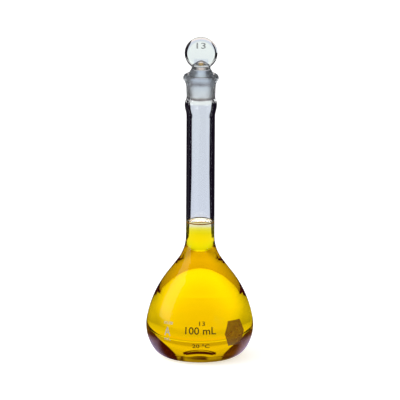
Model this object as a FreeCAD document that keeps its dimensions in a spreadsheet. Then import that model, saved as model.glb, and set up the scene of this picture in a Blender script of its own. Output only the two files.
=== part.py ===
import FreeCAD, Part
import math
import os

import Sketcher

# A 100 mL volumetric flask with its ground pennyhead stopper, filled to the ring with a solution.
# Millimetres and degrees. The base stands on z = 0 at the origin, +Z is up and -Y is the front.

# Driving dimensions: name, value, what it measures
DRIVING = [
    ("bulb_diameter", 60.0, "outside of the bulb at its widest"),
    ("foot_inset", 13.0, "from the bulb's widest radius in to the foot ring's outer edge"),
    ("foot_width", 1.5, "flat ring that the flask stands on"),
    ("kick_height", 1.8, "pushed-up middle of the base"),
    ("heel_radius", 10.75, "round from the foot ring up into the bulb"),
    ("belly_radius", 22.9, "round of the bulb at its widest"),
    ("crown_radius", 59.9, "flatter round above the belly"),
    ("crown_angle", 10.35, "where belly turns into crown, above the horizontal"),
    ("shoulder_angle", 37.3, "lean of the straight shoulder from the vertical"),
    ("flare_radius", 22.7, "hollow round from the shoulder into the neck"),
    ("bulb_wall", 1.3, "glass of the blown bulb"),
    ("neck_diameter", 16.0, "outside of the neck tube"),
    ("neck_wall", 1.55, "glass of the neck tube"),
    ("rim_height", 161.35, "top of the rim above the bench"),
    ("bead_radius", 2.1, "round of the rim bead"),
    ("bead_angle", 36.0, "where the bead turns hollow, below the horizontal"),
    ("bead_blend", 7.0, "hollow round under the bead"),
    ("mouth_round", 1.0, "fire-polished inner edge of the mouth"),
    ("ground_length", 12.15, "ground socket, along the axis"),
    ("joint_wall", 1.75, "glass of the socket at its lower end"),
    ("bulge_rise", 1.0, "swelling under the joint, beyond the wider of neck and socket"),
    ("bulge_drop", 4.2, "from the socket's lower end down to the swelling's widest"),
    ("bulge_reach", 4.7, "from the swelling's widest up to the straight joint"),
    ("bulge_tail", 7.0, "from the swelling's widest down to the straight neck"),
    ("ring_rise", 8.25, "graduation ring above the straight neck's lower end, set for 100 mL"),
    ("ring_width", 0.7, "graduation ring along the neck"),
    ("ring_depth", 0.15, "groove that holds the ring's enamel"),
    ("enamel_gap", 0.02, "fired enamel to glass"),
    ("film_gap", 0.05, "liquid to glass"),
    ("meniscus_radius", 1.6, "round of the liquid's edge"),
    ("meniscus_rise", 0.6, "climb of the liquid's edge up the wall"),
    ("spot_azimuth", 41.5, "marking spot's middle, from the front to the right"),
    ("spot_level", 18.4, "marking spot's middle above the bench"),
    ("spot_width", 14.4, "hexagon across its side points"),
    ("spot_height", 14.2, "hexagon across its level edges"),
    ("spot_edge", 8.6, "hexagon's level edges"),
    ("spot_thickness", 0.1, "enamel of the marking spot"),
    ("plug_diameter", 13.6, "stopper's plug at the mouth's inner edge"),
    ("taper_length", 10.0, "length in which the plug's diameter changes by one"),
    ("seat_gap", 0.05, "plug to socket, square to the axis"),
    ("plug_overhang", 1.2, "plug below the socket's lower end"),
    ("plug_round", 0.7, "round of the plug's lower edge"),
    ("plug_stand", 1.1, "plug above the mouth's inner edge"),
    ("shoulder_round", 1.2, "round of the stopper's shoulder"),
    ("slope_angle", 30.0, "lean of the stopper's shoulder from the vertical"),
    ("waist_diameter", 10.5, "stopper's waist"),
    ("waist_round", 1.0, "hollow round under the waist"),
    ("waist_length", 1.1, "straight part of the waist"),
    ("root_round", 0.6, "round edge of the domed root"),
    ("root_angle", 48.0, "lean of the domed root from the vertical"),
    ("root_fillet", 0.4, "pressed round where the head meets its root"),
    ("disc_diameter", 18.4, "stopper's round head"),
    ("disc_thickness", 4.2, "stopper's round head, with a full-round rim"),
    ("disc_lift", 7.35, "head's middle above the waist's upper end"),
]

# Levels and centres that follow from the driving dimensions
DERIVED = [
    ("bulb_radius", "bulb_diameter / 2"),
    ("foot_radius", "bulb_radius - foot_inset"),
    ("foot_inner_radius", "foot_radius - foot_width"),
    ("kick_radius", "(foot_inner_radius ^ 2 + kick_height ^ 2) / (2 * kick_height)"),
    ("belly_x", "bulb_radius - belly_radius"),
    ("belly_z", "heel_radius + sqrt((belly_radius - heel_radius) ^ 2 - (belly_radius - foot_inset) ^ 2)"),
    ("heel_cos", "(foot_radius - belly_x) / (belly_radius - heel_radius)"),
    ("heel_sin", "(heel_radius - belly_z) / (belly_radius - heel_radius)"),
    ("crown_x", "belly_x + (belly_radius - crown_radius) * cos(crown_angle)"),
    ("crown_z", "belly_z + (belly_radius - crown_radius) * sin(crown_angle)"),
    ("neck_radius", "neck_diameter / 2"),
    ("bore_radius", "neck_radius - neck_wall"),
    ("mouth_z", "rim_height - mouth_round"),
    ("plug_radius", "plug_diameter / 2"),
    ("socket_radius", "plug_radius + seat_gap"),
    ("socket_low_z", "mouth_z - ground_length"),
    ("socket_low_radius", "socket_radius - ground_length / (2 * taper_length)"),
    ("joint_low_radius", "socket_low_radius + joint_wall"),
    ("bead_x", "socket_radius + mouth_round"),
    ("bead_z", "rim_height - bead_radius"),
    ("bead_end_x", "bead_x + bead_radius * cos(bead_angle)"),
    ("bead_end_z", "bead_z - bead_radius * sin(bead_angle)"),
    ("joint_top_radius", "bead_x + (bead_radius + bead_blend) * cos(bead_angle) - bead_blend"),
    ("joint_top_z", "bead_z - (bead_radius + bead_blend) * sin(bead_angle)"),
    ("bulge_z", "socket_low_z - bulge_drop"),
    ("bulge_low_z", "bulge_z - bulge_tail"),
    ("joint_low_z", "bulge_z + bulge_reach"),
    ("bulge_radius", "max(neck_radius; joint_low_radius) + bulge_rise"),
    ("bulge_bore_radius", "bulge_radius - neck_wall"),
    ("liquid_offset", "bulb_wall + film_gap"),
    ("spot_inner_offset", "-enamel_gap"),
    ("spot_outer_offset", "-enamel_gap - spot_thickness"),
    ("liquid_neck_radius", "bore_radius - film_gap"),
]

# Stopper, from the plug's lower edge up to the head
STOPPER = [
    ("plug_low_z", "socket_low_z - plug_overhang"),
    ("plug_edge_z", "plug_low_z + plug_round"),
    ("plug_edge_radius", "plug_radius - (mouth_z - plug_edge_z) / (2 * taper_length)"),
    ("plug_flat_radius", "plug_edge_radius - plug_round"),
    ("plug_top_z", "mouth_z + plug_stand"),
    ("plug_top_radius", "plug_radius + plug_stand / (2 * taper_length)"),
    ("slope_low_x", "plug_top_radius - shoulder_round * (1 - cos(slope_angle))"),
    ("slope_low_z", "plug_top_z + shoulder_round * sin(slope_angle)"),
    ("waist_radius", "waist_diameter / 2"),
    ("slope_top_x", "waist_radius + waist_round * (1 - cos(slope_angle))"),
    ("slope_top_z", "slope_low_z + (slope_low_x - slope_top_x) / tan(slope_angle)"),
    ("waist_low_z", "slope_top_z + waist_round * sin(slope_angle)"),
    ("waist_top_z", "waist_low_z + waist_length"),
    ("root_x", "waist_radius - root_round * (1 - cos(root_angle))"),
    ("root_z", "waist_top_z + root_round * sin(root_angle)"),
    ("apex_z", "root_z + root_x / tan(root_angle)"),
    ("disc_z", "waist_top_z + disc_lift"),
    ("disc_radius", "disc_diameter / 2"),
    ("disc_right", "disc_thickness / 2"),
    ("disc_left", "-disc_thickness / 2"),
    ("disc_flat_radius", "disc_radius - disc_thickness / 2"),
]

# Ring, meniscus and marking spot, once the neck's lower end is known
MARKS = [
    ("ring_low_z", "outer_flare_z + ring_rise - ring_width / 2"),
    ("ring_top_z", "ring_low_z + ring_width"),
    ("groove_radius", "neck_radius - ring_depth"),
    ("groove_reach", "neck_radius + ring_depth"),
    ("ring_inner_radius", "groove_radius + enamel_gap"),
    ("ring_bottom_z", "ring_low_z + enamel_gap"),
    ("ring_upper_z", "ring_top_z - enamel_gap"),
    ("meniscus_z", "ring_top_z"),
    ("meniscus_edge_z", "meniscus_z + meniscus_rise"),
    ("meniscus_reach", "sqrt(meniscus_radius ^ 2 - (meniscus_radius - meniscus_rise) ^ 2)"),
    ("meniscus_flat", "liquid_neck_radius - meniscus_reach"),
    ("liquid_floor", "liquid_offset"),
    ("liquid_kick", "kick_height + liquid_offset"),
    ("inner_kick", "kick_height + bulb_wall"),
    ("spot_right", "spot_width / 2"),
    ("spot_left", "-spot_width / 2"),
    ("spot_edge_right", "spot_edge / 2"),
    ("spot_edge_left", "-spot_edge / 2"),
    ("spot_top_z", "spot_level + spot_height / 2"),
    ("spot_low_z", "spot_level - spot_height / 2"),
    ("frame_right", "bulb_diameter"),
    ("frame_left", "-bulb_diameter"),
    ("frame_top_z", "spot_level + bulb_diameter"),
    ("frame_low_z", "spot_level - bulb_diameter"),
    ("spot_turn", "180 + spot_azimuth"),
]

# The bulb's outline is drawn at several distances inside its outer face, with the neck it leads to
BULB_OUTLINES = [
    ("outer", "0", "neck_radius"),
    ("inner", "bulb_wall", "bore_radius"),
    ("liquid", "liquid_offset", "liquid_neck_radius"),
    ("spot_in", "spot_inner_offset", "neck_radius"),
    ("spot_out", "spot_outer_offset", "neck_radius"),
]


def bulb_outline(name, offset, neck):
    """Corners and radii of the bulb's outline, a distance inside the outer face."""
    return [
        (f"{name}_heel_radius", f"heel_radius - ({offset})"),
        (f"{name}_belly_radius", f"belly_radius - ({offset})"),
        (f"{name}_crown_radius", f"crown_radius - ({offset})"),
        (f"{name}_flare_radius", f"flare_radius + ({offset})"),
        (f"{name}_heel_x", f"foot_radius + {name}_heel_radius * heel_cos"),
        (f"{name}_heel_z", f"heel_radius + {name}_heel_radius * heel_sin"),
        (f"{name}_belly_x", f"belly_x + {name}_belly_radius * cos(crown_angle)"),
        (f"{name}_belly_z", f"belly_z + {name}_belly_radius * sin(crown_angle)"),
        (f"{name}_crown_x", f"crown_x + {name}_crown_radius * cos(shoulder_angle)"),
        (f"{name}_crown_z", f"crown_z + {name}_crown_radius * sin(shoulder_angle)"),
        (f"{name}_slope_x", f"{neck} + {name}_flare_radius * (1 - cos(shoulder_angle))"),
        (f"{name}_slope_z", f"{name}_crown_z + ({name}_crown_x - {name}_slope_x) / tan(shoulder_angle)"),
        (f"{name}_flare_z", f"{name}_slope_z + {name}_flare_radius * sin(shoulder_angle)"),
    ]


def half_turn_curve(name, low, high):
    """Radius and middle of the two equal arcs of an S that leaves and ends along the axis."""
    (low_x, low_z), (high_x, high_z) = low, high
    rise = f"abs({high_x} - {low_x})"
    run = f"abs({high_z} - {low_z})"
    return [
        (f"{name}_radius", f"({rise} ^ 2 + {run} ^ 2) / (4 * {rise})"),
        (f"{name}_x", f"({low_x} + {high_x}) / 2"),
        (f"{name}_z", f"({low_z} + {high_z}) / 2"),
    ]


SWELLINGS = [
    ("bulge_under", ("neck_radius", "bulge_low_z"), ("bulge_radius", "bulge_z")),
    ("bulge_over", ("bulge_radius", "bulge_z"), ("joint_low_radius", "joint_low_z")),
    ("bore_under", ("bore_radius", "bulge_low_z"), ("bulge_bore_radius", "bulge_z")),
    ("bore_over", ("bulge_bore_radius", "bulge_z"), ("socket_low_radius", "socket_low_z")),
]

LEFT = 1
RIGHT = -1
AXIS = None
BENCH = None
HORIZONTAL_AXIS = -1
VERTICAL_AXIS = -2
ORIGIN = (-1, 1)
UP = FreeCAD.Vector(0, 0, 1)
# Degrees turned by a round piece, and by the skin that the marking spot is trimmed from
FULL_TURN = 360
SKIN_TURN = 90
# The least volume that counts as cut, and the least distance that counts as apart
LEAST_CUT = 1e-6
LEAST_GAP = 1e-4


def make_sheet(doc):
    """The spreadsheet: driving dimensions as plain numbers, then what follows from them as formulas."""
    sheet = doc.addObject("Spreadsheet::Sheet", "Dimensions")
    rows = [(alias, str(value), note) for alias, value, note in DRIVING]
    formulas = DERIVED + STOPPER
    for name, offset, neck in BULB_OUTLINES:
        formulas = formulas + bulb_outline(name, offset, neck)
    for name, low, high in SWELLINGS:
        formulas = formulas + half_turn_curve(name, low, high)
    formulas = formulas + MARKS
    rows += [(alias, "=" + formula, "follows from the sizes above") for alias, formula in formulas]
    for number, (alias, content, note) in enumerate(rows, start=1):
        sheet.set(f"A{number}", note)
        sheet.set(f"B{number}", content)
        sheet.setAlias(f"B{number}", alias)
    doc.recompute()
    return sheet


class Outline:
    """A closed outline in a sketch, corner by corner, each corner and radius bound to the sheet."""

    def __init__(self, sheet, body, name, role="XZ_Plane"):
        self.sheet = sheet
        self.sketch = body.newObject("Sketcher::SketchObject", name)
        plane = next(feature for feature in body.Origin.OriginFeatures if feature.Role == role)
        self.sketch.AttachmentSupport = (plane, [""])
        self.sketch.MapMode = "FlatFace"
        self.corners = []
        self.edges = []

    def start(self, x, z):
        self.corners = [(x, z)]
        self.edges = []

    def line(self, x, z):
        self.edges.append(None)
        self.corners.append((x, z))

    def arc(self, x, z, radius, turn):
        self.edges.append((radius, turn))
        self.corners.append((x, z))

    def value(self, alias):
        return 0.0 if alias is None else float(self.sheet.get(alias))

    def point(self, corner):
        x, z = corner
        return FreeCAD.Vector(self.value(x), self.value(z), 0)

    def bind(self, constraint, alias):
        index = self.sketch.addConstraint(constraint)
        self.sketch.setExpression(f"Constraints[{index}]", f"Dimensions.{alias}")

    def place(self, end, corner):
        x, z = corner
        if x is AXIS:
            self.sketch.addConstraint(Sketcher.Constraint("PointOnObject", *end, VERTICAL_AXIS))
        else:
            self.bind(Sketcher.Constraint("DistanceX", *ORIGIN, *end, self.value(x)), x)
        if z is BENCH:
            self.sketch.addConstraint(Sketcher.Constraint("PointOnObject", *end, HORIZONTAL_AXIS))
        else:
            self.bind(Sketcher.Constraint("DistanceY", *ORIGIN, *end, self.value(z)), z)

    def draw_arc(self, first, last, radius, turn):
        """The lesser arc between two points, turning left or right as it is travelled."""
        chord = last - first
        across = FreeCAD.Vector(-chord.y, chord.x, 0) / chord.Length
        depth = math.sqrt(radius ** 2 - (chord.Length / 2) ** 2)
        centre = (first + last) / 2 + across * depth * turn
        begin, end = (first, last) if turn == LEFT else (last, first)
        angles = [math.atan2(point.y - centre.y, point.x - centre.x) for point in (begin, end)]
        circle = Part.Circle(centre, UP, radius)
        return Part.ArcOfCircle(circle, angles[0], angles[1])

    def close(self):
        """Draws the edges, joins their ends and binds the corners and radii."""
        self.edges.append(None)
        ends = []
        count = len(self.corners)
        for number, edge in enumerate(self.edges):
            first = self.point(self.corners[number])
            last = self.point(self.corners[(number + 1) % count])
            if edge is None:
                index = self.sketch.addGeometry(Part.LineSegment(first, last), False)
                ends.append(((index, 1), (index, 2)))
                continue
            radius, turn = edge
            index = self.sketch.addGeometry(self.draw_arc(first, last, self.value(radius), turn), False)
            tips = ((index, 1), (index, 2))
            ends.append(tips if turn == LEFT else tips[::-1])
        for number, (begin, end) in enumerate(ends):
            following = ends[(number + 1) % count][0]
            self.sketch.addConstraint(Sketcher.Constraint("Coincident", *end, *following))
            self.place(begin, self.corners[number])
        for (begin, end), edge in zip(ends, self.edges):
            if edge is not None:
                radius = edge[0]
                self.bind(Sketcher.Constraint("Radius", begin[0], self.value(radius)), radius)


def make_body(doc, name):
    body = doc.addObject("PartDesign::Body", name)
    body.Label = name
    return body


def revolve(body, kind, name, sketch, axis="V_Axis", degrees=FULL_TURN):
    """A Revolution or Groove of the sketch, evenly to both sides of it."""
    feature = body.newObject(f"PartDesign::{kind}", name)
    feature.Profile = sketch
    feature.ReferenceAxis = (sketch, [axis])
    feature.Angle = degrees
    feature.Midplane = True
    body.Document.recompute()
    return feature


def removed(before, feature):
    """Stops the build where a cut has taken nothing away."""
    if feature.Shape.Volume >= before - LEAST_CUT:
        raise RuntimeError(f"{feature.Name} cuts nothing")


def climb_bulb(outline, name, neck):
    """Bulb from the foot ring up to the neck's lower end."""
    outline.arc(f"{name}_heel_x", f"{name}_heel_z", f"{name}_heel_radius", LEFT)
    outline.arc(f"{name}_belly_x", f"{name}_belly_z", f"{name}_belly_radius", LEFT)
    outline.arc(f"{name}_crown_x", f"{name}_crown_z", f"{name}_crown_radius", LEFT)
    outline.line(f"{name}_slope_x", f"{name}_slope_z")
    outline.arc(neck, f"{name}_flare_z", f"{name}_flare_radius", RIGHT)


def make_flask(doc, sheet):
    """Blown flask in one piece of glass: bulb, neck, swelling, ground socket and rim."""
    body = make_body(doc, "flask_body")
    wall = Outline(sheet, body, "flask_wall")
    # Outside, from the middle of the base up to the rim
    wall.start(AXIS, "kick_height")
    wall.arc("foot_inner_radius", BENCH, "kick_radius", RIGHT)
    wall.line("foot_radius", BENCH)
    climb_bulb(wall, "outer", "neck_radius")
    wall.line("neck_radius", "bulge_low_z")
    wall.arc("bulge_under_x", "bulge_under_z", "bulge_under_radius", RIGHT)
    wall.arc("bulge_radius", "bulge_z", "bulge_under_radius", LEFT)
    wall.arc("bulge_over_x", "bulge_over_z", "bulge_over_radius", LEFT)
    wall.arc("joint_low_radius", "joint_low_z", "bulge_over_radius", RIGHT)
    wall.line("joint_top_radius", "joint_top_z")
    wall.arc("bead_end_x", "bead_end_z", "bead_blend", RIGHT)
    wall.arc("bead_x", "rim_height", "bead_radius", LEFT)
    # Inside, from the rim down to the middle of the floor
    wall.arc("socket_radius", "mouth_z", "mouth_round", LEFT)
    wall.line("socket_low_radius", "socket_low_z")
    wall.arc("bore_over_x", "bore_over_z", "bore_over_radius", LEFT)
    wall.arc("bulge_bore_radius", "bulge_z", "bore_over_radius", RIGHT)
    wall.arc("bore_under_x", "bore_under_z", "bore_under_radius", RIGHT)
    wall.arc("bore_radius", "bulge_low_z", "bore_under_radius", LEFT)
    wall.line("bore_radius", "inner_flare_z")
    wall.arc("inner_slope_x", "inner_slope_z", "inner_flare_radius", LEFT)
    wall.line("inner_crown_x", "inner_crown_z")
    wall.arc("inner_belly_x", "inner_belly_z", "inner_crown_radius", RIGHT)
    wall.arc("inner_heel_x", "inner_heel_z", "inner_belly_radius", RIGHT)
    wall.arc("foot_radius", "bulb_wall", "inner_heel_radius", RIGHT)
    wall.line("foot_inner_radius", "bulb_wall")
    wall.arc(AXIS, "inner_kick", "kick_radius", LEFT)
    wall.close()
    blown = revolve(body, "Revolution", "blown_glass", wall.sketch)

    groove = Outline(sheet, body, "ring_groove_section")
    groove.start("groove_radius", "ring_low_z")
    groove.line("groove_reach", "ring_low_z")
    groove.line("groove_reach", "ring_top_z")
    groove.line("groove_radius", "ring_top_z")
    groove.close()
    before = blown.Shape.Volume
    removed(before, revolve(body, "Groove", "ring_groove", groove.sketch))
    return body


def make_stopper(doc, sheet):
    """Pressed stopper: ground plug, shoulder, waist and domed root, and the flat round head on it."""
    body = make_body(doc, "stopper")
    stem = Outline(sheet, body, "plug_and_root")
    stem.start(AXIS, "plug_low_z")
    stem.line("plug_flat_radius", "plug_low_z")
    stem.arc("plug_edge_radius", "plug_edge_z", "plug_round", LEFT)
    stem.line("plug_top_radius", "plug_top_z")
    stem.arc("slope_low_x", "slope_low_z", "shoulder_round", LEFT)
    stem.line("slope_top_x", "slope_top_z")
    stem.arc("waist_radius", "waist_low_z", "waist_round", RIGHT)
    stem.line("waist_radius", "waist_top_z")
    stem.arc("root_x", "root_z", "root_round", LEFT)
    stem.line(AXIS, "apex_z")
    stem.close()
    revolve(body, "Revolution", "stem", stem.sketch)

    # The head is turned about its own middle, along Y, so its section stands on that middle
    head = Outline(sheet, body, "head_section", role="YZ_Plane")
    head.sketch.setExpression("AttachmentOffset.Base.y", "Dimensions.disc_z")
    head.start("disc_left", BENCH)
    head.line("disc_right", BENCH)
    head.line("disc_right", "disc_flat_radius")
    head.arc(AXIS, "disc_radius", "disc_right", LEFT)
    head.arc("disc_left", "disc_flat_radius", "disc_right", LEFT)
    head.close()
    disc = revolve(body, "Revolution", "head", head.sketch, axis="H_Axis")

    seam = [f"Edge{number}" for number, edge in enumerate(disc.Shape.Edges, start=1)
            if lies_on_seam(edge, sheet)]
    fillet = body.newObject("PartDesign::Fillet", "root_fillet")
    fillet.Base = (disc, seam)
    fillet.setExpression("Radius", "Dimensions.root_fillet")
    doc.recompute()
    return body


def lies_on_seam(edge, sheet):
    """Whether an edge is where a flat side of the head runs out over the domed root."""
    half = float(sheet.get("disc_right"))
    box = edge.BoundBox
    on_flat = abs(abs(box.YMin) - half) < LEAST_GAP and box.YMax - box.YMin < LEAST_GAP
    crest = float(sheet.get("disc_z"))
    return on_flat and box.ZMax < crest


def make_liquid(doc, sheet):
    """The solution: fills the bulb and the neck up to the ring, and climbs the wall at its edge."""
    body = make_body(doc, "liquid")
    fill = Outline(sheet, body, "fill_section")
    fill.start(AXIS, "liquid_kick")
    fill.arc("foot_inner_radius", "liquid_floor", "kick_radius", RIGHT)
    fill.line("foot_radius", "liquid_floor")
    climb_bulb(fill, "liquid", "liquid_neck_radius")
    fill.line("liquid_neck_radius", "meniscus_edge_z")
    fill.arc("meniscus_flat", "meniscus_z", "meniscus_radius", RIGHT)
    fill.line(AXIS, "meniscus_z")
    fill.close()
    revolve(body, "Revolution", "fill", fill.sketch)
    return body


def make_ring(doc, sheet):
    """Enamel that fills the groove round the neck, flush with the glass."""
    body = make_body(doc, "graduation_ring")
    band = Outline(sheet, body, "band_section")
    band.start("ring_inner_radius", "ring_bottom_z")
    band.line("neck_radius", "ring_bottom_z")
    band.line("neck_radius", "ring_upper_z")
    band.line("ring_inner_radius", "ring_upper_z")
    band.close()
    revolve(body, "Revolution", "band", band.sketch)
    return body


def make_spot(doc, sheet):
    """Thin enamel patch that follows the bulb's outer face, trimmed to a hexagon."""
    body = make_body(doc, "marking_spot")
    turn = FreeCAD.Rotation(UP, float(sheet.get("spot_turn")))
    body.Placement = FreeCAD.Placement(FreeCAD.Vector(), turn)
    body.setExpression("Placement.Rotation.Angle", "Dimensions.spot_turn")
    skin = Outline(sheet, body, "skin_section", role="YZ_Plane")
    skin.start("spot_out_heel_x", "spot_out_heel_z")
    skin.arc("spot_out_belly_x", "spot_out_belly_z", "spot_out_belly_radius", LEFT)
    skin.arc("spot_out_crown_x", "spot_out_crown_z", "spot_out_crown_radius", LEFT)
    skin.line("spot_in_crown_x", "spot_in_crown_z")
    skin.arc("spot_in_belly_x", "spot_in_belly_z", "spot_in_crown_radius", RIGHT)
    skin.arc("spot_in_heel_x", "spot_in_heel_z", "spot_in_belly_radius", RIGHT)
    skin.close()
    shell = revolve(body, "Revolution", "skin", skin.sketch, degrees=SKIN_TURN)

    # Everything between a wide frame and the hexagon is cut away
    trim = Outline(sheet, body, "trim_section")
    trim.start("frame_left", "frame_low_z")
    trim.line("frame_right", "frame_low_z")
    trim.line("frame_right", "frame_top_z")
    trim.line("frame_left", "frame_top_z")
    trim.close()
    trim.start("spot_edge_left", "spot_low_z")
    trim.line("spot_edge_right", "spot_low_z")
    trim.line("spot_right", "spot_level")
    trim.line("spot_edge_right", "spot_top_z")
    trim.line("spot_edge_left", "spot_top_z")
    trim.line("spot_left", "spot_level")
    trim.close()
    cut = body.newObject("PartDesign::Pocket", "trim")
    cut.Profile = trim.sketch
    cut.Type = "ThroughAll"
    cut.Midplane = True
    doc.recompute()
    removed(shell.Shape.Volume, cut)
    return body


def check(doc, bodies):
    """Stops the build on a failed object, or a sub-part that isn't one valid solid."""
    for item in doc.Objects:
        if "Invalid" in item.State or "Error" in item.State:
            raise RuntimeError(f"{item.Name} failed: {item.State}")
    for body in bodies:
        shape = body.Shape
        if shape.isNull() or not shape.isValid() or len(shape.Solids) != 1:
            raise RuntimeError(f"{body.Label} is not one valid solid")


def main():
    doc = FreeCAD.newDocument("volumetric_flask")
    sheet = make_sheet(doc)
    makers = [make_flask, make_stopper, make_liquid, make_ring, make_spot]
    bodies = [maker(doc, sheet) for maker in makers]
    doc.recompute()
    check(doc, bodies)
    os.makedirs("parts", exist_ok=True)
    for body in bodies:
        body.Shape.exportStep(os.path.join("parts", body.Label + ".step"))
        box = body.Shape.BoundBox
        print(f"{body.Label}: {body.Shape.Volume / 1000:.3f} mL, z {box.ZMin:.2f} to {box.ZMax:.2f} mm")


main()
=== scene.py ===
import math

import bmesh
import bpy
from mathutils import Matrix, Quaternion, Vector
from mathutils.bvhtree import BVHTree


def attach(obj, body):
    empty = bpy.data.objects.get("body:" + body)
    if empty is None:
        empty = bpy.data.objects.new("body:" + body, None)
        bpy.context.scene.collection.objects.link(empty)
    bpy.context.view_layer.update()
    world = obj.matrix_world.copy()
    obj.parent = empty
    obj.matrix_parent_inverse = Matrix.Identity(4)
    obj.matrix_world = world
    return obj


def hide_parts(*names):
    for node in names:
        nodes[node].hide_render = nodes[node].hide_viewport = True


# The stoppered flask of yellow solution on a white floor, in soft studio light.
# Metres. The CAD frame: base on z = 0, +Z up, -Y the front.
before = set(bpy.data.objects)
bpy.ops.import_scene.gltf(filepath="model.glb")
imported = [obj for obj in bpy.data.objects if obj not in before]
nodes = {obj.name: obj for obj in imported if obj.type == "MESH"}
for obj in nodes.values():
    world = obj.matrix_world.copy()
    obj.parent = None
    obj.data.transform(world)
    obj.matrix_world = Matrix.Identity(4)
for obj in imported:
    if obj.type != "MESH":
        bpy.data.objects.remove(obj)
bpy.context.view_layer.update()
scene = bpy.context.scene

# Camera, from the outline fitted in the photograph
CAMERA_ELEVATION = math.radians(13.5)
CAMERA_TARGET = Vector((-0.0002, 0, 0.0891))
CAMERA_LENS = 1200.0
CAMERA_ROLL = math.radians(0.3)
CLIP_START = 0.01
CLIP_END = 30.0
SENSOR = 36.0
FRAME_WIDTH = 0.2236

# Heights of the solution and of the bulb's floor, from the model
LIQUID_MIDDLE = 0.03
LIQUID_LEVEL = 0.0773
LIQUID_EDGE = 0.07789
FLOOR_TOP = 0.0034
SURFACE_DROP = 0.001
SURFACE_SLOPE = 0.15

# Bending of light
GLASS_IOR = 1.474
LIQUID_IOR = 1.337

# Clear glass: its tints and its faint waviness
FLASK_TINT = (0.985, 0.995, 1.0)
STOPPER_TINT = (0.97, 1.0, 0.985)
WAVE_SCALE = 70.0
WAVE_STRENGTH = 0.05
WAVE_DISTANCE = 0.0004

# Ground glass lets less light through, and less of the warm light. Its tint is painted lighter towards the
# foot of the ground joint, as painted light from below
GROUND_TOP = (0.85, 0.91, 0.97)
GROUND_FOOT_PAINTED_LIGHT = (0.975, 0.992, 1.0)
GROUND_HAZE = 0.05
GROUND_GRAIN = 9000.0
GROUND_ROUGHNESS = (0.25, 0.35)

# Where the glass is ground: heights and radii, how dull some faces are, and the soft edges
SOCKET_LOW = 0.1482
SOCKET_TOP = 0.16035
SOCKET_REACH = 0.0071
SOCKET_FACE = 0.8
SOCKET_SOFT = 0.0003
BORE_SOFT = 0.0001
RIM_SOFT = 0.0004
PLUG_TOP = 0.16145
PLUG_SOFT = 0.0002
WAIST = 0.1648
WAIST_SOFT = 0.0004
SHOULDER_FACE = 0.5
ROOT_TOP = 0.1700
ROOT_REACH = 0.0045
ROOT_FACE = 0.9
ROOT_SOFT = 0.0003

# The top of the solution is still pale: layers from below, with their lower ends and their strengths
LAYERS = [(None, 1.0), (0.0709, 0.6), (0.0733, 0.12)]
LAYER_LAP = 0.00002
SOLUTION_COLOUR = (0.99885, 0.97698, 0.0)
SOLUTION_DENSITY = 430.0

# Reading the outline of a turned node, and how far the solution reaches into the glass
SEAM_REACH = 1e-6
SEAM_DIGITS = 7
WALL_OVERLAP = 0.00017
LATHE_STEPS = 160
SHARP_ANGLE = math.radians(45)

# Enamels: colours, opacity, scale of the grain, and for the spot a greyer colour of painted shade towards
# its foot, between two heights
RING_ENAMEL = {"dark": (0.22, 0.08, 0.0), "light": (0.34, 0.14, 0.01), "alpha": 0.86, "scale": 900.0}
SPOT_ENAMEL = {"dark": (0.24, 0.075, 0.0), "light": (0.29, 0.095, 0.0), "alpha": 0.66, "scale": 400.0,
               "painted_shade_foot": ((0.20, 0.11, 0.065), 0.009, 0.017)}
BROWN_ENAMEL = {"dark": (0.03, 0.02, 0.005), "light": (0.05, 0.035, 0.01), "alpha": 0.74, "scale": 900.0}
GREY_ENAMEL = {"dark": (0.36, 0.35, 0.32), "light": (0.46, 0.45, 0.42), "alpha": 0.6, "scale": 900.0}
# Painted shade: the stopper's raised glass number is coloured grey for the shade of its relief
RELIEF_PAINTED_SHADE = {"dark": (0.22, 0.23, 0.23), "light": (0.32, 0.33, 0.33), "alpha": 0.55, "scale": 900.0}
ENAMEL_SPECULAR = 0.15
ENAMEL_DETAIL = 4.0
ENAMEL_DARK_AT = 0.35
ENAMEL_LIGHT_AT = 0.65
ENAMEL_ROUGHNESS = (0.45, 0.6)
ENAMEL_UNEVEN = 0.06

# The part of a noise that is stretched over a range
NOISE_LOW = 0.3
NOISE_HIGH = 0.7

# Brown and grey prints on the bulb: name, words, degrees from the front to the right, level, height, width
BROWN_PRINTS = [("print_size", "13", 2.6, 0.0250, 0.0024, 0.0034),
                ("print_volume", "100 mL", 1.0, 0.0210, 0.0042, 0.0175),
                ("print_warmth", "20 \u00b0C", 1.4, 0.0122, 0.0024, 0.0100)]
GREY_PRINTS = [("print_class", "A", -37.0, 0.0195, 0.0050, 0.0042),
               ("print_limit", "\u00b10.08", -37.0, 0.0242, 0.0017, 0.0064),
               ("print_limit_unit", "mL", -37.0, 0.0151, 0.0016, 0.0042)]

# The raised glass number on the stopper's head, painted grey as the shade of its relief: name, words,
# level, height, width
HEAD_PRINT = ("print_head", "13", 0.1780, 0.0034, 0.0052)
HEAD_FRONT = -0.0021
HEAD_RELIEF = 0.0001

# Prints: where they start from, how high they stand, and how finely they follow the bulb
BULB_RADIUS = 0.030
PRINT_REACH = 0.05
PRINT_FOOT = 0.00003
PRINT_TOP = 0.00007
PRINT_BOLD = 0.012
PRINT_DEPTH = 1.0
PRINT_CURVES = 3
PRINT_GRAIN = 1e-6
PRINT_STEP = 0.0008
PRINT_CUTS = 4
LETTER_GRAIN = 1e-5

# The floor as the camera sees it
FLOOR_RADIUS = 4.0
FLOOR_SIDES = 96
FLOOR_DROP = 0.0002
FLOOR_GRAIN = 300.0
FLOOR_DARK = (0.83, 0.83, 0.83)
FLOOR_LIGHT = (0.87, 0.87, 0.87)
FLOOR_ROUGHNESS = 0.7
FLOOR_SPECULAR = 0.1
FLOOR_GLOW = 0.58
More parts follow.
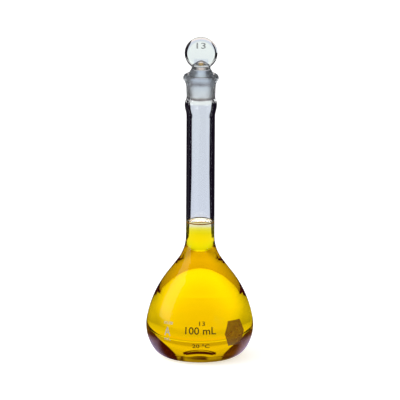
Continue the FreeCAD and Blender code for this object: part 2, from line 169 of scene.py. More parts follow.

# Floor as glass shows it: distance from the flask, and the colour of the painted light and shade there
PAINTED_FLOOR_LIGHT = [(0.015, (0.92, 0.92, 0.92)), (0.024, (1.06, 1.06, 1.06)), (0.050, (1.60, 1.60, 1.40)),
               (0.066, (1.38, 1.40, 1.25)), (0.072, (1.18, 1.22, 1.12)), (0.077, (1.02, 1.02, 0.95)),
               (0.086, (0.96, 0.96, 0.92)), (0.093, (0.86, 0.86, 0.86)), (0.105, (0.87, 0.87, 0.84)),
               (0.120, (0.94, 0.94, 0.86)), (0.150, (1.02, 0.95, 0.90)), (0.220, (1.06, 0.90, 0.84)),
               (0.284, (0.95, 0.86, 0.90)), (0.310, (0.88, 0.85, 0.92)), (0.335, (0.73, 0.78, 0.89)),
               (0.620, (0.72, 0.77, 0.84)), (0.800, (0.93, 0.98, 0.96))]
TONE_REACH = 1.0
TONE_PEAK = 1.65

# White paper that leaves the flask: heading in degrees from +Y towards -X, how far it goes, half its width
# and where it starts
STRIPS = [(0, 4.0, 0.088, -0.11), (45, 0.29, 0.035, 0.03), (95, 4.0, 0.088, 0.03), (225, 4.0, 0.088, 0.03)]
STRIP_SPREAD = math.tan(math.radians(11.5))
STRIP_SOFT = 0.006

# The paper strips as the solution shows them: shorter, wider, and wider and brighter far off
SHORT_DEEP = 0.20
DEEP_HALF = 0.07
DEEP_SPREAD = 0.25
FAR_START = 0.40
FAR_END = 0.50
FAR_WIDTH = 0.30
FAR_BRIGHT = 1.35

# The short strip as solid glass shows it: longer and wider
SOLID_REACH = 0.35
SOLID_WIDTH = 0.04

# The strips are darker to the sides of their middle, close to the flask, as painted shade
SIDE_START = 0.006
SIDE_END = 0.019
SIDE_TONE = 0.54
SIDE_FADE_START = 0.080
SIDE_FADE_END = 0.095

# Dark parts of the room, as clear glass and as the solution show them
DARK_ROOM = (0.006, 0.003, 0.009)
DARK_DEEP = (0.060, 0.007, 0.003)

# Upright backdrops behind the long strips: half widths by the rise, and their narrower top
WALL_DISTANCE = 1.0
WALL_WIDTHS = [(0.0, 0.76), (0.044, 0.64), (0.07, 0.54), (0.123, 0.43), (0.155, 0.385), (0.222, 0.33),
               (0.28, 0.30)]
WALL_NARROWS = 0.42
WALL_RISE = 0.80
WALL_TIP = 0.2
WALL_SOFT = 0.02
WALL_TOP_SOFT = 0.1
LEAST_AHEAD = 0.001

# A bright strip low on the backdrops, which a level liquid mirrors, and the duller backdrop above it
GLARE = 4.0
GLARE_LOW = math.tan(math.radians(9))
GLARE_HIGH = math.tan(math.radians(19))
GLARE_SIDE = math.tan(math.radians(18))
GLARE_SOFT = 0.03
BACKDROP_LOW = 0.70
BACKDROP_HIGH = 0.60
BACKDROP_FADE = GLARE_HIGH + 0.1

# The backdrop as the solution shows it: its rise and brightness, with two dark bars across the front one
DEEP_TONES = [(0.0, 0.64), (0.045, 0.62), (0.065, 0.93), (0.10, 0.97), (0.15, 0.82), (0.20, 0.78),
              (0.30, 0.42), (0.36, 0.24)]
DEEP_REACH = 0.5
BAR_TURN = 0
BAR_RISE = 0.120
BAR_HALF = 0.024
BAR_BEND = 2.0
BAR_SIDE = 0.19
BAR_SOFT = 0.011
SLAB_LOW = 0.182
SLAB_HIGH = 0.308
SLAB_LEFT = -0.09
SLAB_RIGHT = 0.25
SLAB_SOFT = 0.04

# A dim backdrop to one side, which only the solution shows: its floor, its wall and its sky
SIDE_WALL_TURN = math.radians(45)
SIDE_WALL_TONE = 0.03
SIDE_WALL_SPREAD = 0.55
SIDE_WALL_START = 0.18
SIDE_WALL_SOFT = 0.1
SIDE_FLOOR_TONE = 0.10
SIDE_SKY_TONE = 0.40
SIDE_SKY_SPREAD = 1.5
SIDE_SKY_LOW = 0.36
SIDE_SKY_HIGH = 0.56

# Mirrored in glass, the floor is white only close to the flask
MIRROR_START = 0.036
MIRROR_REACH = 0.06
MIRROR_FRONT = -0.004
MIRROR_SOFT = 0.012
MIRROR_NEAR = (0.74, 0.62, 0.92)
MIRROR_FAR = (0.010, 0.008, 0.013)
ROOM_MIRROR = 0.012

# Ways of a ray: a depth above ONCE has happened. Rays that pass more surfaces than SOLUTION_DEPTH came
# through the solution, and those that pass fewer than SOLID_DEPTH through one solid piece of glass.
ONCE = 0.5
SOLUTION_DEPTH = 4.5
SOLID_DEPTH = 2.5

# Painted shade: how much dimmer the floor glows for rays that turned back inside a clear wall
TURNED_PAINTED_SHADE = 0.98

# Soft light from everywhere, and softboxes: place, width and height, radiance
AMBIENT = 0.7
LIGHT_TARGET = Vector((0, 0, 0.09))
KEY_PLACE = Vector((-0.67, -0.22, 0.36))
KEY_SIZE = (0.6, 0.8)
KEY_RADIANCE = 3.0
WINDOW_PLACE = Vector((-0.70, -0.04, 0.42))
WINDOW_SIZE = (0.5, 0.7)
WINDOW_RADIANCE = 0.7

# Rays that end too early leave black specks in the glass
BOUNCES = 24
MIRROR_BOUNCES = 12

WHITE = (1.0, 1.0, 1.0)


# Shader building blocks

def feed(tree, socket, value):
    """Sets an input to a number or a colour, or links it to another socket."""
    if isinstance(value, (int, float)):
        socket.default_value = value
    elif isinstance(value, tuple):
        socket.default_value = (*value, 1.0)
    else:
        tree.links.new(value, socket)


def math_node(tree, operation, first, second=None):
    """A Math node fed by sockets or plain numbers."""
    made = tree.nodes.new("ShaderNodeMath")
    made.operation = operation
    feed(tree, made.inputs[0], first)
    if second is not None:
        feed(tree, made.inputs[1], second)
    return made.outputs[0]


def product(tree, *values):
    """Some sockets or numbers multiplied."""
    result = values[0]
    for value in values[1:]:
        result = math_node(tree, "MULTIPLY", result, value)
    return result


def total(tree, *values):
    """Some sockets or numbers added."""
    result = values[0]
    for value in values[1:]:
        result = math_node(tree, "ADD", result, value)
    return result


def largest(tree, *values):
    """The largest of some sockets."""
    result = values[0]
    for value in values[1:]:
        result = math_node(tree, "MAXIMUM", result, value)
    return result


def rest_of(tree, value):
    """1 less a socket."""
    return math_node(tree, "SUBTRACT", 1.0, value)


def ramp(tree, value, low, high, from_value=0.0, to_value=1.0):
    """A smooth step of a value between two limits."""
    made = tree.nodes.new("ShaderNodeMapRange")
    made.interpolation_type = "SMOOTHSTEP"
    tree.links.new(value, made.inputs["Value"])
    made.inputs["From Min"].default_value = low
    made.inputs["From Max"].default_value = high
    made.inputs["To Min"].default_value = from_value
    made.inputs["To Max"].default_value = to_value
    return made.outputs["Result"]


def rising(tree, value, middle, soft):
    """A smooth step from 0 to 1 about a middle."""
    return ramp(tree, value, middle - soft, middle + soft)


def falling(tree, value, middle, soft, full=1.0):
    """A smooth step from a full value to 0 about a middle."""
    return ramp(tree, value, middle + soft, middle - soft, 0.0, full)


def band(tree, value, low, high, soft):
    """1 between two limits."""
    return product(tree, rising(tree, value, low, soft), falling(tree, value, high, soft))


def blended(tree, factor, first, second):
    """A number that goes from the first to the second as the factor goes from 0 to 1."""
    made = tree.nodes.new("ShaderNodeMix")
    tree.links.new(factor, made.inputs["Factor"])
    _, first_socket, second_socket = [socket for socket in made.inputs if socket.type == "VALUE"]
    feed(tree, first_socket, first)
    feed(tree, second_socket, second)
    return made.outputs[0]


def mixed_colour(tree, factor, first, second):
    """A colour that goes from the first to the second as the factor goes from 0 to 1."""
    made = tree.nodes.new("ShaderNodeMix")
    made.data_type = "RGBA"
    tree.links.new(factor, made.inputs["Factor"])
    first_socket, second_socket = [socket for socket in made.inputs if socket.type == "RGBA"]
    feed(tree, first_socket, first)
    feed(tree, second_socket, second)
    return next(socket for socket in made.outputs if socket.type == "RGBA")


def colour_ramp(tree, value, tones):
    """A colour by a value from 0 to 1, from pairs of both."""
    made = tree.nodes.new("ShaderNodeValToRGB")
    elements = made.color_ramp.elements
    while len(elements) < len(tones):
        elements.new(0.5)
    for element, (place_at, colour) in zip(elements, tones):
        element.position = place_at
        element.color = (*colour, 1.0)
    tree.links.new(value, made.inputs["Fac"])
    return made.outputs["Color"]


def grey_ramp(tree, value, tones, reach):
    """A brightness by a value up to a reach, from pairs of both."""
    greys = [(place_at / reach, (tone, tone, tone)) for place_at, tone in tones]
    return colour_ramp(tree, math_node(tree, "DIVIDE", value, reach), greys)


def noise(tree, where, scale, detail=2.0):
    """A noise over some coordinates."""
    made = tree.nodes.new("ShaderNodeTexNoise")
    made.inputs["Scale"].default_value = scale
    made.inputs["Detail"].default_value = detail
    tree.links.new(where, made.inputs["Vector"])
    return made.outputs["Fac"]


def apart(tree, vector):
    """The three parts of a vector."""
    parts = tree.nodes.new("ShaderNodeSeparateXYZ")
    tree.links.new(vector, parts.inputs[0])
    return parts.outputs


def place(tree):
    """The object's own coordinates, its height and its distance from the axis."""
    where = tree.nodes.new("ShaderNodeTexCoord").outputs["Object"]
    x, y, height = apart(tree, where)
    across = tree.nodes.new("ShaderNodeCombineXYZ")
    tree.links.new(x, across.inputs["X"])
    tree.links.new(y, across.inputs["Y"])
    length = tree.nodes.new("ShaderNodeVectorMath")
    length.operation = "LENGTH"
    tree.links.new(across.outputs[0], length.inputs[0])
    return where, height, length.outputs["Value"]


def along_and_across(tree, where, turn):
    """How far a point or direction lies along a heading and to its side, and its height."""
    x, y, z = apart(tree, where)
    sine, cosine = math.sin(turn), math.cos(turn)
    along = total(tree, product(tree, x, -sine), product(tree, y, cosine))
    across = total(tree, product(tree, x, cosine), product(tree, y, sine))
    return along, across, z


def emission(tree, colour, strength=1.0):
    """A shader that glows."""
    made = tree.nodes.new("ShaderNodeEmission")
    feed(tree, made.inputs["Color"], colour)
    feed(tree, made.inputs["Strength"], strength)
    return made.outputs[0]


def added_shader(tree, first, second):
    """The sum of two shaders."""
    made = tree.nodes.new("ShaderNodeAddShader")
    tree.links.new(first, made.inputs[0])
    tree.links.new(second, made.inputs[1])
    return made.outputs[0]


def mixed_shader(tree, factor, first, second):
    """A shader that goes from the first to the second as the factor goes from 0 to 1."""
    made = tree.nodes.new("ShaderNodeMixShader")
    tree.links.new(factor, made.inputs["Fac"])
    tree.links.new(first, made.inputs[1])
    tree.links.new(second, made.inputs[2])
    return made.outputs[0]


def start_material(name):
    """A material with one Principled shader on its output."""
    material = bpy.data.materials.new(name)
    material.use_nodes = True
    tree = material.node_tree
    tree.nodes.clear()
    output = tree.nodes.new("ShaderNodeOutputMaterial")
    shader = tree.nodes.new("ShaderNodeBsdfPrincipled")
    tree.links.new(shader.outputs["BSDF"], output.inputs["Surface"])
    return material, tree, shader, output


# Ways of a ray

def ray(tree, name):
    """What is known about the ray that is being followed."""
    return tree.nodes.new("ShaderNodeLightPath").outputs[name]


def unscattered(tree):
    """1 for rays that met no matt surface on the way."""
    return math_node(tree, "LESS_THAN", ray(tree, "Diffuse Depth"), ONCE)


def through_glass(tree):
    """1 for rays that came through glass, with no matt surface on the way."""
    return product(tree, ray(tree, "Is Transmission Ray"), unscattered(tree))


def mirrored(tree):
    """1 for rays that glass mirrors, with no matt surface on the way."""
    kept = rest_of(tree, ray(tree, "Is Transmission Ray"))
    return product(tree, ray(tree, "Is Glossy Ray"), unscattered(tree), kept)


def deep_way(tree):
    """1 for rays that came through the solution as well as the glass."""
    return math_node(tree, "GREATER_THAN", ray(tree, "Transmission Depth"), SOLUTION_DEPTH)


def solid_way(tree):
    """1 for rays that came through one solid piece of glass only."""
    return math_node(tree, "LESS_THAN", ray(tree, "Transmission Depth"), SOLID_DEPTH)


def straight_way(tree):
    """Less than 1 for rays that turned back inside clear glass, which the floor shows dim as painted shade.
    """
    turned = math_node(tree, "GREATER_THAN", ray(tree, "Glossy Depth"), ONCE)
    clear = math_node(tree, "LESS_THAN", ray(tree, "Transmission Depth"), SOLUTION_DEPTH)
    return rest_of(tree, product(tree, turned, clear, TURNED_PAINTED_SHADE))


# Materials of the flask, the stopper, the solution and the enamels

def outward(tree):
    """The outward face normal's part away from the axis, and its upward part."""
    shape = tree.nodes.new("ShaderNodeNewGeometry")
    side = rest_of(tree, product(tree, shape.outputs["Backfacing"], 2.0))
    normal_x, normal_y, normal_z = apart(tree, shape.outputs["True Normal"])
    x, y, _ = apart(tree, shape.outputs["Position"])
    away = total(tree, product(tree, normal_x, x), product(tree, normal_y, y))
    return product(tree, away, side), product(tree, normal_z, side)


def wetted_mask(tree, height):
    """1 on the inside of the flask's wall and floor, up to the edge of the solution."""
    away, up = outward(tree)
    wall = math_node(tree, "LESS_THAN", away, 0.0)
    floor = math_node(tree, "GREATER_THAN", up, 0.0)
    low = math_node(tree, "LESS_THAN", height, FLOOR_TOP)
    inside = total(tree, product(tree, floor, low), product(tree, wall, rest_of(tree, low)))
    return product(tree, inside, math_node(tree, "LESS_THAN", height, LIQUID_EDGE))


def surface_mask(tree, height):
    """1 on the free surface of the solution."""
    _, up = outward(tree)
    facing = math_node(tree, "GREATER_THAN", up, SURFACE_SLOPE)
    return product(tree, facing, math_node(tree, "GREATER_THAN", height, LIQUID_LEVEL - SURFACE_DROP))


def socket_mask(tree, height, radius):
    """1 on the ground inside of the flask's socket, and a dull bloom on its outside and rim."""
    above = rising(tree, height, SOCKET_LOW, SOCKET_SOFT)
    below = ramp(tree, height, SOCKET_TOP + RIM_SOFT, SOCKET_TOP)
    inside = ramp(tree, radius, SOCKET_REACH, SOCKET_REACH - BORE_SOFT, SOCKET_FACE, 1.0)
    rim = ramp(tree, height, SOCKET_TOP - RIM_SOFT, SOCKET_TOP, 0.0, SOCKET_FACE)
    return largest(tree, product(tree, above, below, inside), rim)


def plug_mask(tree, height, radius):
    """1 on the ground plug of the stopper, and a little on the shoulder and the root above it."""
    plug = falling(tree, height, PLUG_TOP, PLUG_SOFT)
    shoulder = falling(tree, height, WAIST, WAIST_SOFT, SHOULDER_FACE)
    low = falling(tree, height, ROOT_TOP, ROOT_SOFT, ROOT_FACE)
    root = product(tree, low, falling(tree, radius, ROOT_REACH, ROOT_SOFT))
    return largest(tree, root, plug, shoulder)


def glass(name, tint, ground, wetted=None):
    """Clear glass with a faint waviness, ground dull where the mask says so."""
    material, tree, shader, _ = start_material(name)
    where, height, radius = place(tree)
    shader.inputs["Transmission Weight"].default_value = 1.0
    shader.inputs["IOR"].default_value = GLASS_IOR
    if wetted is not None:
        drop = product(tree, wetted(tree, height), GLASS_IOR - GLASS_IOR / LIQUID_IOR)
        tree.links.new(math_node(tree, "SUBTRACT", GLASS_IOR, drop), shader.inputs["IOR"])
    mask = ground(tree, height, radius)
    # Painted light: the ground tint goes from lighter at the joint's foot to darker at its top
    ground_tint_with_painted_light = mixed_colour(tree, ramp(tree, height, SOCKET_LOW, PLUG_TOP), GROUND_FOOT_PAINTED_LIGHT, GROUND_TOP)
    tree.links.new(mixed_colour(tree, mask, tint, ground_tint_with_painted_light), shader.inputs["Base Color"])
    haze = product(tree, mask, GROUND_HAZE)
    tree.links.new(rest_of(tree, haze), shader.inputs["Transmission Weight"])
    grain = noise(tree, where, GROUND_GRAIN)
    dull = ramp(tree, grain, NOISE_LOW, NOISE_HIGH, *GROUND_ROUGHNESS)
    tree.links.new(product(tree, mask, dull), shader.inputs["Roughness"])
    bump = tree.nodes.new("ShaderNodeBump")
    bump.inputs["Strength"].default_value = WAVE_STRENGTH
    bump.inputs["Distance"].default_value = WAVE_DISTANCE
    tree.links.new(noise(tree, where, WAVE_SCALE), bump.inputs["Height"])
    tree.links.new(bump.outputs["Normal"], shader.inputs["Normal"])
    return material


def solution(name, strength):
    """Clear yellow water-based solution: takes out blue, and a little green on long ways."""
    material, tree, shader, output = start_material(name)
    feed(tree, shader.inputs["Base Color"], WHITE)
    shader.inputs["Transmission Weight"].default_value = 1.0
    shader.inputs["Roughness"].default_value = 0.0
    _, height, _ = place(tree)
    rise = product(tree, surface_mask(tree, height), LIQUID_IOR - 1.0)
    tree.links.new(total(tree, rise, 1.0), shader.inputs["IOR"])
    absorb = tree.nodes.new("ShaderNodeVolumeAbsorption")
    feed(tree, absorb.inputs["Color"], SOLUTION_COLOUR)
    absorb.inputs["Density"].default_value = SOLUTION_DENSITY * strength
    tree.links.new(absorb.outputs[0], output.inputs["Volume"])
    return material


def enamel(name, dark, light, alpha, scale, painted_shade_foot=None):
    """Fired enamel, thinner and thicker in places, and with a greyer colour of painted shade towards its
    foot.
    """
    material, tree, shader, _ = start_material(name)
    where, height, _ = place(tree)
    shader.inputs["Specular IOR Level"].default_value = ENAMEL_SPECULAR
    grain = noise(tree, where, scale, ENAMEL_DETAIL)
    colour = colour_ramp(tree, grain, [(ENAMEL_DARK_AT, dark), (ENAMEL_LIGHT_AT, light)])
    if painted_shade_foot is not None:
        # Painted shade: a greyer colour towards the spot's foot, between two heights
        painted_shade_colour, low, high = painted_shade_foot
        colour = mixed_colour(tree, ramp(tree, height, low, high), painted_shade_colour, colour)
    tree.links.new(colour, shader.inputs["Base Color"])
    roughness = ramp(tree, grain, NOISE_LOW, NOISE_HIGH, *ENAMEL_ROUGHNESS)
    tree.links.new(roughness, shader.inputs["Roughness"])
    opacity = ramp(tree, grain, NOISE_LOW, NOISE_HIGH, alpha - ENAMEL_UNEVEN, alpha + ENAMEL_UNEVEN)
    tree.links.new(opacity, shader.inputs["Alpha"])
    return material


def give(name, material):
    """One material for a whole CAD node."""
    slots = nodes[name].data.materials
    slots.clear()
    slots.append(material)


# The solution, turned from the outline of the CAD liquid

def seam_of(name, middle):
    """Radius and height of a turned CAD node's outline, from the bottom of its axis to the top."""
    found = {(round(-vertex.co.x, SEAM_DIGITS), round(vertex.co.z, SEAM_DIGITS))
             for vertex in nodes[name].data.vertices
             if abs(vertex.co.y) < SEAM_REACH and vertex.co.x < SEAM_REACH}
    return sorted(found, key=lambda point: math.atan2(point[1] - middle, point[0]))


def moved_out(outline, distance, count):
    """The outline with its first points moved square to it."""
    moved = []
    for number, (radius, height) in enumerate(outline[:count]):
        before = outline[max(number - 1, 0)]
        after = outline[min(number + 1, count - 1)]
        along = Vector((after[0] - before[0], after[1] - before[1])).normalized()
        step = 0.0 if radius < SEAM_REACH else along.y * distance
        moved.append((radius + step, height - along.x * distance))
    return moved + outline[count:]


def lathe(name, outline, steps):
    """A closed mesh turned from an outline that starts and ends on the axis."""
    points = [(0.0, 0.0, outline[0][1])]
    faces = []
    rings = outline[1:-1]
    for radius, height in rings:
        for step in range(steps):
            turn = 2 * math.pi * step / steps
            points.append((radius * math.cos(turn), radius * math.sin(turn), height))
    top = len(points)
    points.append((0.0, 0.0, outline[-1][1]))
    last = 1 + (len(rings) - 1) * steps
    for step in range(steps):
        following = (step + 1) % steps
        faces.append((0, 1 + following, 1 + step))
        faces.append((top, last + step, last + following))
        for row in range(len(rings) - 1):
            low = 1 + row * steps
            high = low + steps
            faces.append((low + step, low + following, high + following, high + step))
    mesh = bpy.data.meshes.new(name)
    mesh.from_pydata(points, [], faces)
    mesh.shade_smooth()
    mesh.set_sharp_from_angle(angle=SHARP_ANGLE)
    made = bpy.data.objects.new(name, mesh)
    scene.collection.objects.link(made)
    return made


def make_solution():
    """The solution wets the glass: its side reaches a hair into the wall, as one optical contact."""
    outline = seam_of("liquid", LIQUID_MIDDLE)
    edge = max(range(len(outline)), key=lambda number: outline[number][1])
    whole = moved_out(outline, WALL_OVERLAP, edge + 1)
    neck = max(radius for radius, height in whole if height > LIQUID_LEVEL)
    ends = [low for low, _ in LAYERS[1:]] + [None]
    for number, ((low, strength), high) in enumerate(zip(LAYERS, ends)):
        part = whole
        if low is not None:
            part = [(0.0, low), (neck, low)] + [point for point in part if point[1] > low]
        if high is not None:
            top = high + LAYER_LAP
            part = [point for point in part if point[1] < high] + [(neck, top), (0.0, top)]
        fill = lathe(f"solution_{number}", part, LATHE_STEPS)
        fill.data.materials.append(solution(f"solution_{number}", strength))
        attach(fill, "flask")
        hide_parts("liquid")


# Prints on the bulb and on the stopper's head

def letters(name, words, height, width):
    """A flat mesh of some words, centred, fitted to a height and a width."""
    data = bpy.data.curves.new(name, "FONT")
    data.body = words
    data.extrude = PRINT_DEPTH
    data.offset = PRINT_BOLD
    data.resolution_u = PRINT_CURVES
    words_object = bpy.data.objects.new(name + "_text", data)
    scene.collection.objects.link(words_object)
    bpy.context.view_layer.update()
    evaluated = words_object.evaluated_get(bpy.context.evaluated_depsgraph_get())
    mesh = bpy.data.meshes.new_from_object(evaluated)
    bpy.data.objects.remove(words_object)
    shape = bmesh.new()
    shape.from_mesh(mesh)
    bmesh.ops.remove_doubles(shape, verts=shape.verts, dist=LETTER_GRAIN)
    lows = [min(vert.co[axis] for vert in shape.verts) for axis in range(2)]
    highs = [max(vert.co[axis] for vert in shape.verts) for axis in range(2)]
    for vert in shape.verts:
        vert.co.x = ((vert.co.x - lows[0]) / (highs[0] - lows[0]) - 0.5) * width
        vert.co.y = ((vert.co.y - lows[1]) / (highs[1] - lows[1]) - 0.5) * height
    bmesh.ops.triangulate(shape, faces=shape.faces)
    for _ in range(PRINT_CUTS):
        long_edges = [edge for edge in shape.edges
                      if (edge.verts[0].co.xy - edge.verts[1].co.xy).length > PRINT_STEP]
        bmesh.ops.subdivide_edges(shape, edges=long_edges, cuts=1, use_single_edge=True)
        bmesh.ops.triangulate(shape, faces=shape.faces)
    return shape, mesh


def finish_print(name, shape, mesh, material, body):
    """The letters as a clean closed piece on a body."""
    bmesh.ops.remove_doubles(shape, verts=shape.verts, dist=PRINT_GRAIN)
    bmesh.ops.dissolve_degenerate(shape, edges=shape.edges, dist=PRINT_GRAIN)
    bmesh.ops.triangulate(shape, faces=shape.faces)
    bmesh.ops.recalc_face_normals(shape, faces=shape.faces)
    shape.to_mesh(mesh)
    shape.free()
    mesh.name = name
    mesh.materials.clear()
    mesh.materials.append(material)
    made = bpy.data.objects.new(name, mesh)
    scene.collection.objects.link(made)
    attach(made, body)


def print_on_bulb(bulb, material, name, words, turn, level, height, width):
    """Words fired on the bulb's face: the turn is from the front to the right, in degrees."""
    shape, mesh = letters(name, words, height, width)
    for vert in shape.verts:
        around = math.radians(turn) + vert.co.x / BULB_RADIUS
        away = Vector((math.sin(around), -math.cos(around), 0))
        start = away * PRINT_REACH + Vector((0, 0, level + vert.co.y))
        hit, normal, _, _ = bulb.ray_cast(start, -away)
        vert.co = hit + normal * (PRINT_TOP if vert.co.z > 0 else PRINT_FOOT)
    finish_print(name, shape, mesh, material, "flask")


def number_on_head(material, name, words, level, height, width):
    """Raised number on the flat front of the stopper's head."""
    shape, mesh = letters(name, words, height, width)
    for vert in shape.verts:
        stand = HEAD_RELIEF if vert.co.z > 0 else 0.0
        vert.co = Vector((vert.co.x, HEAD_FRONT - stand, level + vert.co.y))
    finish_print(name, shape, mesh, material, "stopper")


def make_prints():
    """All marks of the flask and its stopper."""
    bulb = BVHTree.FromObject(nodes["flask_body"], bpy.context.evaluated_depsgraph_get())
    brown = enamel("print_brown", **BROWN_ENAMEL)
    grey = enamel("print_grey", **GREY_ENAMEL)
    # Painted shade: the raised glass number on the stopper is coloured grey
    relief_shade = enamel("relief_painted_shade", **RELIEF_PAINTED_SHADE)
    for mark in BROWN_PRINTS:
        print_on_bulb(bulb, brown, *mark)
    for mark in GREY_PRINTS:
        print_on_bulb(bulb, grey, *mark)
    number_on_head(relief_shade, *HEAD_PRINT)


# The floor and the room as glass shows them

def side_view(tree, where, spread):
    """Distance along the dim side backdrop's heading, 1 inside its width, and the rise there."""
    along, across, up = along_and_across(tree, where, SIDE_WALL_TURN)
    ahead = largest(tree, along, LEAST_AHEAD)
    lean = math_node(tree, "ABSOLUTE", math_node(tree, "DIVIDE", across, ahead))
    facing = math_node(tree, "GREATER_THAN", along, 0.0)
    inside = product(tree, falling(tree, lean, spread, SIDE_WALL_SOFT), facing)
    return along, inside, math_node(tree, "DIVIDE", up, ahead)


def white_strip(tree, where, radius, turn, reach, width, start):
    """1 on one paper strip that leaves the flask."""
    deep = deep_way(tree)
    short = reach < WALL_DISTANCE
    along, across, _ = along_and_across(tree, where, math.radians(turn))
    aside = math_node(tree, "ABSOLUTE", across)
    clear_half = largest(tree, product(tree, along, STRIP_SPREAD), width)
    deep_start = ramp(tree, along, FAR_START, FAR_END, DEEP_HALF, DEEP_HALF + FAR_WIDTH)
    deep_half = total(tree, product(tree, along, DEEP_SPREAD), deep_start)
    half = blended(tree, deep, clear_half, deep_half)
    end = blended(tree, deep, reach, SHORT_DEEP if short else reach)
    if short:
        solid = solid_way(tree)
        half = total(tree, half, product(tree, solid, SOLID_WIDTH))
        end = total(tree, end, product(tree, solid, SOLID_REACH))
    inside = falling(tree, math_node(tree, "SUBTRACT", aside, half), 0.0, STRIP_SOFT)
    ahead = rising(tree, along, start, STRIP_SOFT)
    near = falling(tree, math_node(tree, "SUBTRACT", along, end), 0.0, STRIP_SOFT)
    close = ramp(tree, radius, SIDE_FADE_END, SIDE_FADE_START, 0.0, 1.0 - SIDE_TONE)
    edge = rest_of(tree, product(tree, ramp(tree, aside, SIDE_START, SIDE_END), close))
    bright = blended(tree, deep, 1.0, ramp(tree, along, FAR_START, FAR_END, 1.0, FAR_BRIGHT))
    return product(tree, inside, ahead, near, edge, bright)


def white_paper(tree, where, radius):
    """1 where the floor is white as glass shows it: paper strips that leave the flask, dark around them."""
    strips = [white_strip(tree, where, radius, *strip) for strip in STRIPS]
    along, inside, _ = side_view(tree, where, SIDE_WALL_SPREAD)
    far = rising(tree, along, SIDE_WALL_START, STRIP_SOFT)
    side = product(tree, deep_way(tree), far, inside, SIDE_FLOOR_TONE)
    return largest(tree, *strips, side)


def painted_floor_light_tone(tree, radius):
    """Painted light and shade on the floor as glass shows it, by the distance from the flask."""
    tones = [(distance / TONE_REACH, tuple(value / TONE_PEAK for value in colour))
             for distance, colour in PAINTED_FLOOR_LIGHT]
    return colour_ramp(tree, math_node(tree, "DIVIDE", radius, TONE_REACH), tones)


def beside_bars(tree, rise, lean):
    """1 beside two dark bars that arch across a backdrop, which the solution shows."""
    aside = math_node(tree, "ABSOLUTE", lean)
    bent = math_node(tree, "SUBTRACT", rise, product(tree, lean, lean, BAR_BEND))
    bar = product(tree, band(tree, bent, BAR_RISE - BAR_HALF, BAR_RISE + BAR_HALF, BAR_SOFT),
                  falling(tree, aside, BAR_SIDE, BAR_SOFT))
    slab = product(tree, band(tree, bent, SLAB_LOW, SLAB_HIGH, BAR_SOFT),
                   band(tree, lean, SLAB_LEFT, SLAB_RIGHT, SLAB_SOFT))
    return product(tree, rest_of(tree, bar), rest_of(tree, slab))


def backdrop(tree, where, turn):
    """Brightness of one upright backdrop, by the direction of the ray."""
    along, across, up = along_and_across(tree, where, math.radians(turn))
    ahead = largest(tree, along, LEAST_AHEAD)
    rise = math_node(tree, "DIVIDE", up, ahead)
    lean = math_node(tree, "DIVIDE", across, ahead)
    aside = math_node(tree, "ABSOLUTE", lean)
    spread = product(tree, grey_ramp(tree, rise, WALL_WIDTHS, DEEP_REACH),
                     ramp(tree, rise, WALL_NARROWS, WALL_RISE, 1.0, WALL_TIP))
    side = falling(tree, math_node(tree, "SUBTRACT", aside, spread), 0.0, WALL_SOFT)
    top = falling(tree, rise, WALL_RISE, WALL_TOP_SOFT)
    facing = math_node(tree, "GREATER_THAN", along, 0.0)
    hot = product(tree, band(tree, rise, GLARE_LOW, GLARE_HIGH, GLARE_SOFT),
                  falling(tree, aside, GLARE_SIDE, GLARE_SOFT), GLARE)
    plain = ramp(tree, rise, 0.0, BACKDROP_FADE, BACKDROP_LOW, BACKDROP_HIGH)
    tone = grey_ramp(tree, rise, DEEP_TONES, DEEP_REACH)
    if turn == BAR_TURN:
        tone = product(tree, tone, beside_bars(tree, rise, lean))
    bright = blended(tree, deep_way(tree), total(tree, plain, hot), tone)
    return product(tree, facing, side, top, bright)


def white_wall(tree, where):
    """Brightness of the room as glass shows it: a backdrop behind each long strip, and a dim one aside."""
    walls = [backdrop(tree, where, turn) for turn, reach, _, _ in STRIPS if reach > WALL_DISTANCE]
    deep = deep_way(tree)
    _, inside, _ = side_view(tree, where, SIDE_WALL_SPREAD)
    dim = product(tree, deep, inside, SIDE_WALL_TONE)
    _, inside, rise = side_view(tree, where, SIDE_SKY_SPREAD)
    high = ramp(tree, rise, SIDE_SKY_LOW, SIDE_SKY_HIGH, 0.0, SIDE_SKY_TONE)
    sky = product(tree, deep, inside, high)
    return largest(tree, *walls, dim, sky)


def mirrored_floor(tree, where, radius):
    """The floor's colour as glass mirrors it: white close behind the flask, dark further off."""
    away = ramp(tree, radius, MIRROR_START, MIRROR_REACH)
    _, y, _ = apart(tree, where)
    ahead = ramp(tree, y, MIRROR_FRONT, MIRROR_FRONT - MIRROR_SOFT)
    return mixed_colour(tree, largest(tree, away, ahead), MIRROR_NEAR, MIRROR_FAR)


def make_floor():
    """A wide white floor that keeps the object's shadow."""
    bpy.ops.mesh.primitive_circle_add(vertices=FLOOR_SIDES, radius=FLOOR_RADIUS, fill_type="NGON",
                                      location=(0, 0, -FLOOR_DROP))
    floor = bpy.context.object
    floor.name = "floor"
    material, tree, shader, output = start_material("floor_paper")
    where, _, radius = place(tree)
    grain = colour_ramp(tree, noise(tree, where, FLOOR_GRAIN), [(0.0, FLOOR_DARK), (1.0, FLOOR_LIGHT)])
    tree.links.new(grain, shader.inputs["Base Color"])
    shader.inputs["Roughness"].default_value = FLOOR_ROUGHNESS
    shader.inputs["Specular IOR Level"].default_value = FLOOR_SPECULAR
    feed(tree, shader.inputs["Emission Color"], WHITE)
    glow = product(tree, ray(tree, "Is Camera Ray"), FLOOR_GLOW)
    tree.links.new(glow, shader.inputs["Emission Strength"])
    # Painted light: the strips glow with a brightness and tint set by the distance from the flask
    bright = product(tree, white_paper(tree, where, radius), straight_way(tree), TONE_PEAK)
    strip_glow_with_painted_light = emission(tree, painted_floor_light_tone(tree, radius), bright)
    shown = added_shader(tree, strip_glow_with_painted_light, emission(tree, DARK_ROOM))
    seen = mixed_shader(tree, through_glass(tree), shader.outputs[0], shown)
    image = emission(tree, mirrored_floor(tree, where, radius))
    whole = mixed_shader(tree, mirrored(tree), seen, image)
    tree.links.new(whole, output.inputs["Surface"])
    floor.data.materials.append(material)


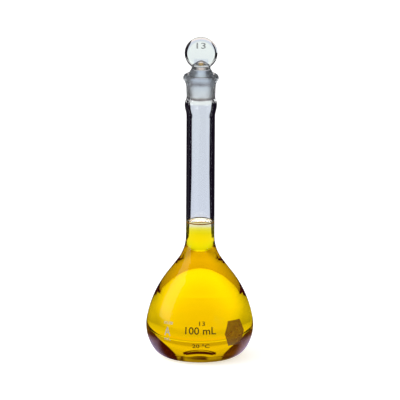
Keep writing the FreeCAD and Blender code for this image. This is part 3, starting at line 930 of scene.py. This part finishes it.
def make_world():
    """White to the camera, an even soft grey as light, and a dim room with white backdrops in glass."""
    world = bpy.data.worlds.new("studio")
    scene.world = world
    world.use_nodes = True
    tree = world.node_tree
    tree.nodes.clear()
    output = tree.nodes.new("ShaderNodeOutputWorld")
    where = tree.nodes.new("ShaderNodeTexCoord").outputs["Generated"]
    clear = through_glass(tree)
    backdrops = product(tree, clear, white_wall(tree, where))
    bounced = rest_of(tree, unscattered(tree))
    soft_light = product(tree, bounced, AMBIENT)
    image = product(tree, mirrored(tree), ROOM_MIRROR)
    white = tree.nodes.new("ShaderNodeBackground")
    feed(tree, white.inputs["Color"], WHITE)
    strength = total(tree, ray(tree, "Is Camera Ray"), backdrops, soft_light, image)
    tree.links.new(strength, white.inputs["Strength"])
    shade = tree.nodes.new("ShaderNodeBackground")
    dark = mixed_colour(tree, deep_way(tree), DARK_ROOM, DARK_DEEP)
    tree.links.new(dark, shade.inputs["Color"])
    tree.links.new(clear, shade.inputs["Strength"])
    both = added_shader(tree, white.outputs[0], shade.outputs[0])
    tree.links.new(both, output.inputs["Surface"])


# Lights and camera

def area_light(name, place_at, size, radiance):
    """A softbox of a given radiance, turned to the flask and hidden from the camera."""
    width, height = size
    data = bpy.data.lights.new(name, "AREA")
    data.shape = "RECTANGLE"
    data.size = width
    data.size_y = height
    data.energy = radiance * math.pi * width * height
    light = bpy.data.objects.new(name, data)
    light.location = place_at
    light.rotation_mode = "QUATERNION"
    light.rotation_quaternion = (LIGHT_TARGET - place_at).to_track_quat("-Z", "Y")
    scene.collection.objects.link(light)
    light.visible_camera = False
    light.visible_transmission = False
    return light


def make_camera():
    """A long lens in front of the flask, a little above it."""
    data = bpy.data.cameras.new("camera")
    data.lens = CAMERA_LENS
    data.sensor_width = SENSOR
    data.clip_start = CLIP_START
    data.clip_end = CLIP_END
    camera = bpy.data.objects.new("camera", data)
    back = Vector((0, -math.cos(CAMERA_ELEVATION), math.sin(CAMERA_ELEVATION)))
    camera.location = CAMERA_TARGET + back * (FRAME_WIDTH * CAMERA_LENS / SENSOR)
    camera.rotation_mode = "QUATERNION"
    level = (-back).to_track_quat("-Z", "Y")
    camera.rotation_quaternion = level @ Quaternion((0, 0, 1), CAMERA_ROLL)
    scene.collection.objects.link(camera)
    scene.camera = camera


# The object
give("flask_body", glass("flask_glass", FLASK_TINT, socket_mask, wetted_mask))
give("stopper", glass("stopper_glass", STOPPER_TINT, plug_mask))
make_solution()
give("graduation_ring", enamel("ring_enamel", **RING_ENAMEL))
give("marking_spot", enamel("spot_enamel", **SPOT_ENAMEL))
make_prints()

# The studio
make_floor()
make_world()
key = area_light("softbox", KEY_PLACE, KEY_SIZE, KEY_RADIANCE)
key.visible_glossy = False
area_light("window", WINDOW_PLACE, WINDOW_SIZE, WINDOW_RADIANCE)
make_camera()
scene.view_settings.view_transform = "Standard"
scene.cycles.max_bounces = BOUNCES
scene.cycles.transmission_bounces = BOUNCES
scene.cycles.glossy_bounces = MIRROR_BOUNCES
